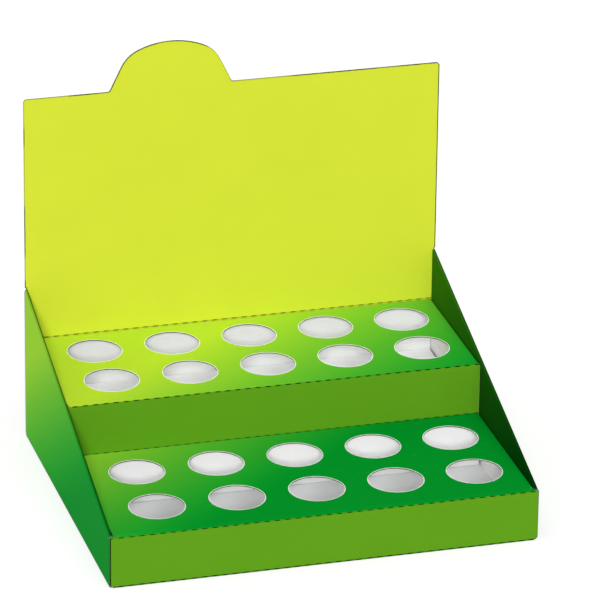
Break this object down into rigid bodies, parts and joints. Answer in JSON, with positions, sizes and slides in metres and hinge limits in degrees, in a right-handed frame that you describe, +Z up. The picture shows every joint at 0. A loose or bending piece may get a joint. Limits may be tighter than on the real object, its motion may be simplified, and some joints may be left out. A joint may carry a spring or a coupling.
{
  "type": "cardboard counter display stand",
  "caption": "Two-tier cardboard counter display with rows of round holes in each tier, sloped side walls and a flat header card with a round tab.",
  "frame": {"origin": "centre of the footprint, on the underside of the base", "axes": "+X to the right of someone who faces the front, +Y from the front to the back, +Z up"},
  "size_m": [0.3, 0.25, 0.29],
  "materials": {
    "tray_board": "solid display board, printed green outside with a satin varnish, plain white inside",
    "tier_board": "solid display board, printed yellow-green to green on top, plain white below",
    "plain_board": "solid display board, plain white",
    "header_board": "solid display board, printed yellow-green on the front, plain white behind"
  },
  "bodies": {
    "root": {"tray": "tray_board", "stepped_insert": "tier_board", "inner_shelf": "plain_board", "header_card": "header_board"}
  },
  "joints": []
}
